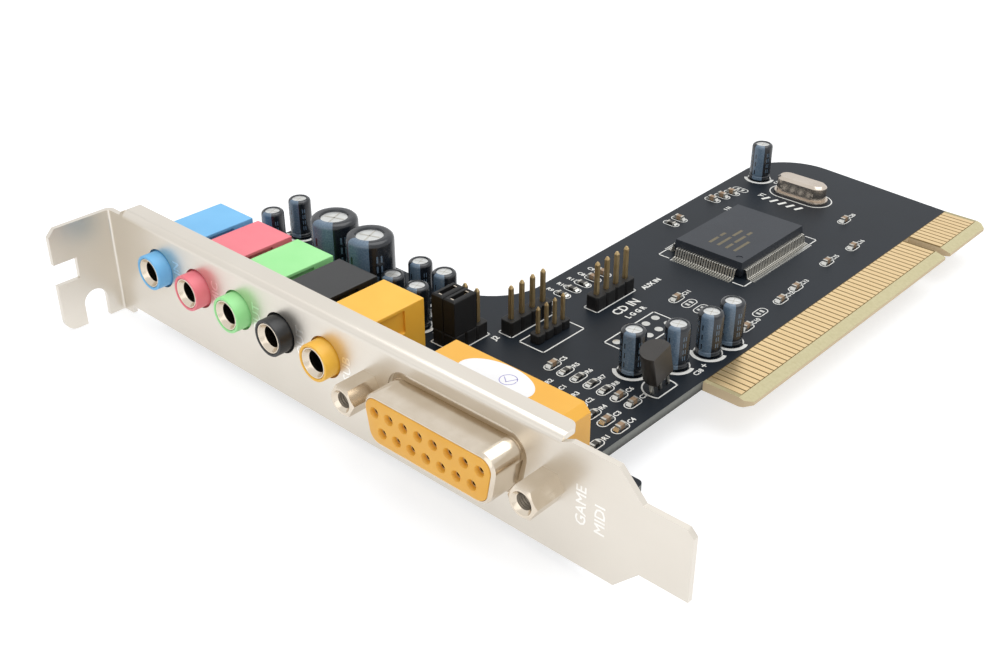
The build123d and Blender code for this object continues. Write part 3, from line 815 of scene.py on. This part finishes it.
def hex_posts():
    """Jackscrews: hex with a turned front, and a countersunk, threaded hole, painted shade deep inside."""
    segments = 48
    thread_pitch = 0.4
    # The ring of the hole from which the nickel is painted darker as shade
    shade_from = 6
    for name in ("jackscrew_left", "jackscrew_right"):
        low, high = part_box(name)
        centre = Vector(((low.x + high.x) / 2, low.y, (low.z + high.z) / 2))
        length = high.y - low.y
        flat = (high.z - low.z) / 2
        front = 0.93 * flat
        bm = bmesh.new()
        rings = [hex_ring(bm, centre, flat, lambda radius: length, segments),
                 hex_ring(bm, centre, flat, lambda radius: (radius - front) * 0.6, segments)]
        profile = [(front, 0), (1.72 * MM, 0), (1.4 * MM, 0.4 * MM)]
        for turn in range(8):
            crest = 0.55 + thread_pitch * turn
            profile += [(1.22 * MM, crest * MM), (1.42 * MM, (crest + thread_pitch / 2) * MM)]
        profile.append((0.02 * MM, 4.0 * MM))
        rings += [circle(bm, centre, radius, depth, "y", segments) for radius, depth in profile]
        for k, (first, second) in enumerate(zip(rings, rings[1:])):
            bridge(bm, first, second, 1 if k >= shade_from else 0)
        bm.faces.new(rings[0])
        bm.faces.new(rings[-1]).material_index = 1
        piece(name + "_threaded", bm, [nickel, shaded_nickel], [name], smooth=25)


# Printed marks, pads and solder

def standing_boxes():
    """Boxes of all that stands on the board."""
    shared = ("small_capacitors", "large_capacitors", "chip_resistors", "chip_capacitors")
    boxes = []
    for name in nodes:
        if name in shared:
            boxes += islands(name)
        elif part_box(name)[0].z > board_top - 0.1 * MM:
            boxes.append(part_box(name))
    return boxes


standing = standing_boxes()


def free_of_parts(low, high):
    """Whether a patch of the board has nothing on it and lies clear of the contacts and the back edge."""
    back = card(*seen_corner[0])
    if high.x > contacts_low.x - 0.5 * MM or (low.x < back.x and high.y > back.y):
        return False
    return not any(a.x < high.x and low.x < b.x and a.y < high.y and low.y < b.y for a, b in standing)


def capacitor_marks(bm, name, start):
    """Thin circle and thick half ring printed round each can, a plus and a number beside it."""
    for number, (low, high) in enumerate(islands(name), start):
        radius = (high.x - low.x) / 2
        centre = spot(low, high)
        inner = radius + 0.1 * MM
        arc_band(bm, centre, inner, radius + 0.3 * MM, 0, 360, 40)
        arc_band(bm, centre, inner, radius + 0.95 * MM, 210, 380, 24)
        side = centre + Vector((radius, 0, 0)) + mm(2.2, -0.4, ink_thickness / 2)
        if free_of_parts(side + mm(-1.3, -0.2), side + mm(0.3, 3.6)):
            words(bm, "C" + str(number), label_size, side, inward, leftward)
            words(bm, "+", 1.8, side + mm(-0.2, 2.6), inward, leftward)


def chip_marks(bm, name, letter):
    """Capsule outline and designator by each chip part."""
    for number, (low, high) in enumerate(islands(name), 1):
        laid(bm, low, high, chip_outline)
        label = letter + str(number)
        centre = spot(low, high) + mm(0, 0, ink_thickness / 2)
        if centre.x > card(across_limit, 0).x:
            words(bm, label, label_size, centre + mm(0.4, 1.8), inward, leftward)
        elif centre.x > card(edge_limit, 0).x:
            words(bm, label, label_size, centre + mm(-3.3, -0.4), rightward, inward)


def chip_outline(bm, low, high):
    """Capsule printed round one chip part, along Y."""
    width = 0.16 * MM
    x = (low.x + high.x) / 2
    half = (high.x - low.x) / 2 + 0.3 * MM
    near, far = Vector((x, low.y, board_top)), Vector((x, high.y, board_top))
    arc_band(bm, near, half, half + width, 180, 360, 12)
    arc_band(bm, far, half, half + width, 0, 180, 12)
    for side in (-1, 1):
        shift = Vector((side * (half + width / 2), 0, 0))
        bar(bm, near + shift, far + shift, width)


def crystal_outline(bm, low, high):
    """Capsule printed round the crystal, along X."""
    margin = 0.9 * MM
    width = line_width * MM
    half = (high.y - low.y) / 2 + margin
    y = (low.y + high.y) / 2
    near = Vector((low.x - margin + half, y, board_top))
    far = Vector((high.x + margin - half, y, board_top))
    arc_band(bm, near, half - width, half, 90, 270, 20)
    arc_band(bm, far, half - width, half, -90, 90, 20)
    for side in (-1, 1):
        shift = Vector((0, side * (half - width / 2), 0))
        bar(bm, near + shift, far + shift)


def part_marks(bm):
    """Outlines printed round the headers, the chip, the crystal and the regulator."""
    margin = mm(0.15, 0.15)
    for name in ("cd_header", "aux_header", "jumper_header"):
        low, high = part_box(name + "_base")
        framed(bm, low - margin, high + margin)
    low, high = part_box("fine_header_base")
    framed(bm, low - mm(1.1, 1.0), high + mm(1.9, 1.0))
    low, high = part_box("audio_chip_leads")
    for x, dx in ((low.x, 1), (high.x, -1)):
        for y, dy in ((low.y, 1), (high.y, -1)):
            corner = Vector((x, y, board_top)) - mm(0.3 * dx, 0.3 * dy)
            bar(bm, corner, corner + mm(2.2 * dx, 0))
            bar(bm, corner, corner + mm(0, 2.2 * dy))
    low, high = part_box("crystal_base")
    crystal_outline(bm, low, high)
    for i in range(5):
        start = Vector((low.x, low.y, board_top)) + mm(0.8 + 1.8 * i, -3.6)
        bar(bm, start, start + mm(0.5, 1.2), 0.6 * MM)
    centre = spot(*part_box("regulator_leads")) + mm(0, 0.3)
    arc_band(bm, centre, 2.6 * MM, 2.85 * MM, 60, 300, 24)
    bar(bm, centre + mm(1.36, -2.35), centre + mm(1.36, 2.35))


def empty_header_places():
    """Card places of the pads where a double header was never fitted."""
    x, y, columns, rows = empty_header
    return [(x + c * header_pitch, y + r * header_pitch) for c in range(columns) for r in range(rows)]


def empty_chip_boxes():
    """Low and high corners of the places on the board where no chip part was fitted."""
    half = mm(chip_part_width / 2, chip_part_length / 2)
    return [(card(x, y) - half, card(x, y) + half) for x, y in empty_chips]


def board_words(bm):
    """Plain functional words and the outline of the empty header."""
    level = mm(0, 0, ink_thickness / 2)
    labels = (
        ("CD IN", 2.3, 73.6, 46.2), ("L G G R", 1.4, 75.6, 46.6), ("AUX IN", 1.4, 71.6, 56.2),
        ("IN", 1.4, 63.6, 41.2), ("J2", 1.5, 64.2, 27.0), ("U1", 1.5, 64.6, 91.8), ("Y1", 1.5, 66.0, 101.6),
    )
    for text, size, x, y in labels:
        words(bm, text, size, card(x, y) + level, inward, leftward, bold=0.05)
    places = empty_header_places()
    framed(bm, card(*places[0]) - mm(1.4, 1.4), card(*places[-1]) + mm(1.44, 1.44))


def printed_marks():
    bm = bmesh.new()
    capacitor_marks(bm, "small_capacitors", 31)
    capacitor_marks(bm, "large_capacitors", 21)
    chip_marks(bm, "chip_resistors", "R")
    chip_marks(bm, "chip_capacitors", "C")
    for low, high in empty_chip_boxes():
        laid(bm, low, high, chip_outline)
    part_marks(bm)
    board_words(bm)
    piece("board_print", bm, [ink])


def chip_print():
    """Rows of short burnt bars on the chip's top."""
    low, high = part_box("audio_chip_body")
    bm = bmesh.new()
    lengths = ((2.2, 1.0), (3.6, 2.4), (1.6, 2.8, 0.9), (4.2,))
    for row, bars in enumerate(lengths):
        start = Vector((low.x, low.y, high.z)) + mm(5.2 + 1.7 * row, 3.4)
        for length in bars:
            bar(bm, start, start + mm(0, length), 0.55 * MM, 0.008 * MM)
            start = start + mm(0, length + 1.2)
    piece("audio_chip_print", bm, [burnt])


def chip_pads(bm, low, high):
    """Two tinned pads at the ends of an empty chip place."""
    end = 0.55 * MM
    rise = mm(0, 0, pad_thickness)
    brick(bm, low, Vector((high.x, low.y + end, low.z)) + rise)
    brick(bm, Vector((low.x, high.y - end, low.z)), high + rise)


def open_pads():
    """Tinned pads where a double header and a few chip parts were never fitted."""
    bm = bmesh.new()
    dome = ((0.7, 0), (0.7, 0.03), (0.45, 0.06), (0, 0.1))
    profile = [(radius * MM, height * MM, 0) for radius, height in dome]
    for x, y in empty_header_places():
        turned(bm, card(x, y), profile, segments=20)
    for low, high in empty_chip_boxes():
        laid(bm, low, high, chip_pads)
    piece("empty_pads", bm, [solder])


def lead_places():
    """Where leads come through to the solder side."""
    jack_leads = ((-2.5, -1.6), (2.5, -1.6), (0, -4.6), (-2.5, -8.6), (2.5, -8.6))
    port_rows = ((8, -2.0), (7, -4.84))
    can_leads = (("small_capacitors", mm(0, 0.75)), ("large_capacitors", mm(0, 1.75)))
    crystal_lead = mm(2.44, 0)
    places = []
    for name in jack_names:
        low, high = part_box("jack_housing_" + name)
        back = Vector(((low.x + high.x) / 2, high.y, 0))
        places += [back + mm(x, y) for x, y in jack_leads]
    low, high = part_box("game_port_housing")
    back = Vector(((low.x + high.x) / 2, high.y, 0))
    for count, y in port_rows:
        places += [back + mm((i - (count - 1) / 2) * socket_pitch, y) for i in range(count)]
    for name in header_names:
        places += [spot(low, high) for low, high in islands(name + "_pins")]
    for name, lead in can_leads:
        for low, high in islands(name):
            places += [spot(low, high) - lead, spot(low, high) + lead]
    for low, high in islands("regulator_leads"):
        places.append(Vector(((low.x + high.x) / 2, high.y, 0)) - mm(0, 0.2))
    places += [middle("crystal_base") - crystal_lead, middle("crystal_base") + crystal_lead]
    places += [card(x, y) for x, y in empty_header_places()]
    return places


def solder_joints():
    """Cones of solder with the clipped lead ends, under the board."""
    cone = ((0.95, 0, 0), (0.7, 0.2, 0), (0.42, 0.7, 0), (0.3, 0.95, 1), (0.3, 1.35, 1), (0, 1.4, 1))
    profile = [(radius * MM, -drop * MM, material) for radius, drop, material in cone]
    bm = bmesh.new()
    for place in lead_places():
        turned(bm, Vector((place.x, place.y, board_under)), profile, segments=16)
    piece("solder_joints", bm, [solder, tin])


def port_sticker():
    """Oval paper label on the game port's housing, with a pen loop."""
    low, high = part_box("game_port_housing")
    half = 6.5 * MM
    thick = 0.05 * MM
    stroke = 0.12 * MM
    film = 0.01 * MM
    centre = Vector(((low.x + high.x) / 2, high.y, high.z)) + mm(-0.7, -3.9)
    bm = bmesh.new()
    turned(bm, Vector(), [(half, 0, 0), (half, thick, 0), (0, thick, 0)], segments=64)
    bmesh.ops.scale(bm, vec=(1, 0.56, 1), verts=bm.verts)
    bmesh.ops.translate(bm, vec=centre, verts=bm.verts)
    loop = centre + mm(1.6, 0.9) + Vector((0, 0, thick))
    arc_band(bm, loop, 1.2 * MM, 1.2 * MM + stroke, 20, 370, 40, film, 1)
    tick = [loop + mm(x, y) for x, y in ((-0.9, 0.2), (0.1, -0.6), (0.9, 0.9))]
    for start, stop in zip(tick, tick[1:]):
        bar(bm, start, stop, stroke, film, 1)
    piece("oval_sticker", bm, [paper, pen])


def bracket_words():
    """Plain words by the ports, read upwards along the bracket's width."""
    bm = bmesh.new()
    axis = middle("jack_ferrule_blue").z
    front = outer_face - ink_thickness / 2 * MM
    jack_words = (("IN", 0.4), ("MIC", -1.2), ("OUT", -2.2), ("OUT", -2.2), ("SUB", -2.2))
    labels = []
    for name, (text, rise) in zip(jack_names, jack_words):
        labels.append((text, 2.4, middle("jack_ferrule_" + name).x + 5.5 * MM, rise))
    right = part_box("jackscrew_right")[1].x
    labels += [("GAME", 2.3, right + 3.4 * MM, -4.6), ("MIDI", 2.3, right + 6.4 * MM, -4.6)]
    for text, size, x, rise in labels:
        words(bm, text, size, Vector((x, front, axis + rise * MM)), upward, leftward, bold=0.025)
    piece("bracket_print", bm, [coined])


# Room, light and camera

def seen_directly(tree):
    """One for rays from the camera, from metal or through glass, nought for other light."""
    path = add(tree, "ShaderNodeLightPath").outputs
    either = maths(tree, "MAXIMUM", path["Is Camera Ray"], path["Is Glossy Ray"])
    return maths(tree, "MAXIMUM", either, path["Is Transmission Ray"])


def floor():
    """Pale floor that stays white in the picture and keeps the card's soft shadow."""
    bm = bmesh.new()
    bmesh.ops.create_grid(bm, x_segments=1, y_segments=1, size=3.0)
    mesh = bpy.data.meshes.new("floor")
    bm.to_mesh(mesh)
    bm.free()
    made = bpy.data.objects.new("floor", mesh)
    made.location = (0, 0, bracket_low.z - 0.2 * MM)
    bpy.context.scene.collection.objects.link(made)
    material, tree, shader = surface("white_sweep_paper", "#F4F5F8", 0.0, 0.9)
    seen = seen_directly(tree)
    shader.inputs["Emission Color"].default_value = (1, 1, 1, 1)
    tree.links.new(blend(tree, seen, "#F4F5F8", "#B4B5B7"), shader.inputs["Base Color"])
    tree.links.new(maths(tree, "MULTIPLY", seen, 0.66), shader.inputs["Emission Strength"])
    mesh.materials.append(material)


def sky():
    """Even white surroundings: full white to the camera and in reflections, softer as light."""
    world = bpy.data.worlds.new("white_room")
    bpy.context.scene.world = world
    world.use_nodes = True
    tree = world.node_tree
    level = add(tree, "ShaderNodeMapRange", {"To Min": 0.62, "To Max": 1.0}, {"Value": seen_directly(tree)})
    back = tree.nodes["Background"]
    back.inputs["Color"].default_value = (1, 1, 1, 1)
    tree.links.new(level.outputs["Result"], back.inputs["Strength"])


def softbox(name, place, size, watts):
    """A square studio lamp that faces the card."""
    lamp = bpy.data.lights.new(name, "AREA")
    lamp.size = size
    lamp.energy = watts
    made = bpy.data.objects.new(name, lamp)
    made.location = place
    made.rotation_euler = (-Vector(place)).to_track_quat("-Z", "Y").to_euler()
    bpy.context.scene.collection.objects.link(made)


def camera():
    """The photograph's view, solved on the bracket and the edge contacts."""
    lens = bpy.data.cameras.new("photo_view")
    lens.sensor_width = 36.0
    lens.lens = 45.24
    lens.shift_x = -0.0035
    lens.shift_y = -0.0083
    lens.clip_start = 0.01
    made = bpy.data.objects.new("photo_view", lens)
    made.location = card(178.97, -97.15, 107.51)
    made.rotation_euler = (math.radians(90 - 30.41), 0, math.radians(42.31))
    bpy.context.scene.collection.objects.link(made)
    bpy.context.scene.camera = made


dress_solids()
board_laminate()
capacitors("small_capacitors")
capacitors("large_capacitors")
chip_parts("chip_resistors", glaze)
chip_parts("chip_capacitors", ceramic)
gull_leads()
ferrules()
jumper_springs()
shell_flare()
port_face()
hex_posts()
printed_marks()
chip_print()
open_pads()
solder_joints()
port_sticker()
bracket_words()
floor()
sky()
softbox("overhead_softbox", (0.1, 0.1, 0.6), 0.6, 2.5)
softbox("front_fill", (0.2, -0.6, 0.25), 0.5, 0.45)
camera()
bpy.context.scene.view_settings.view_transform = "Standard"
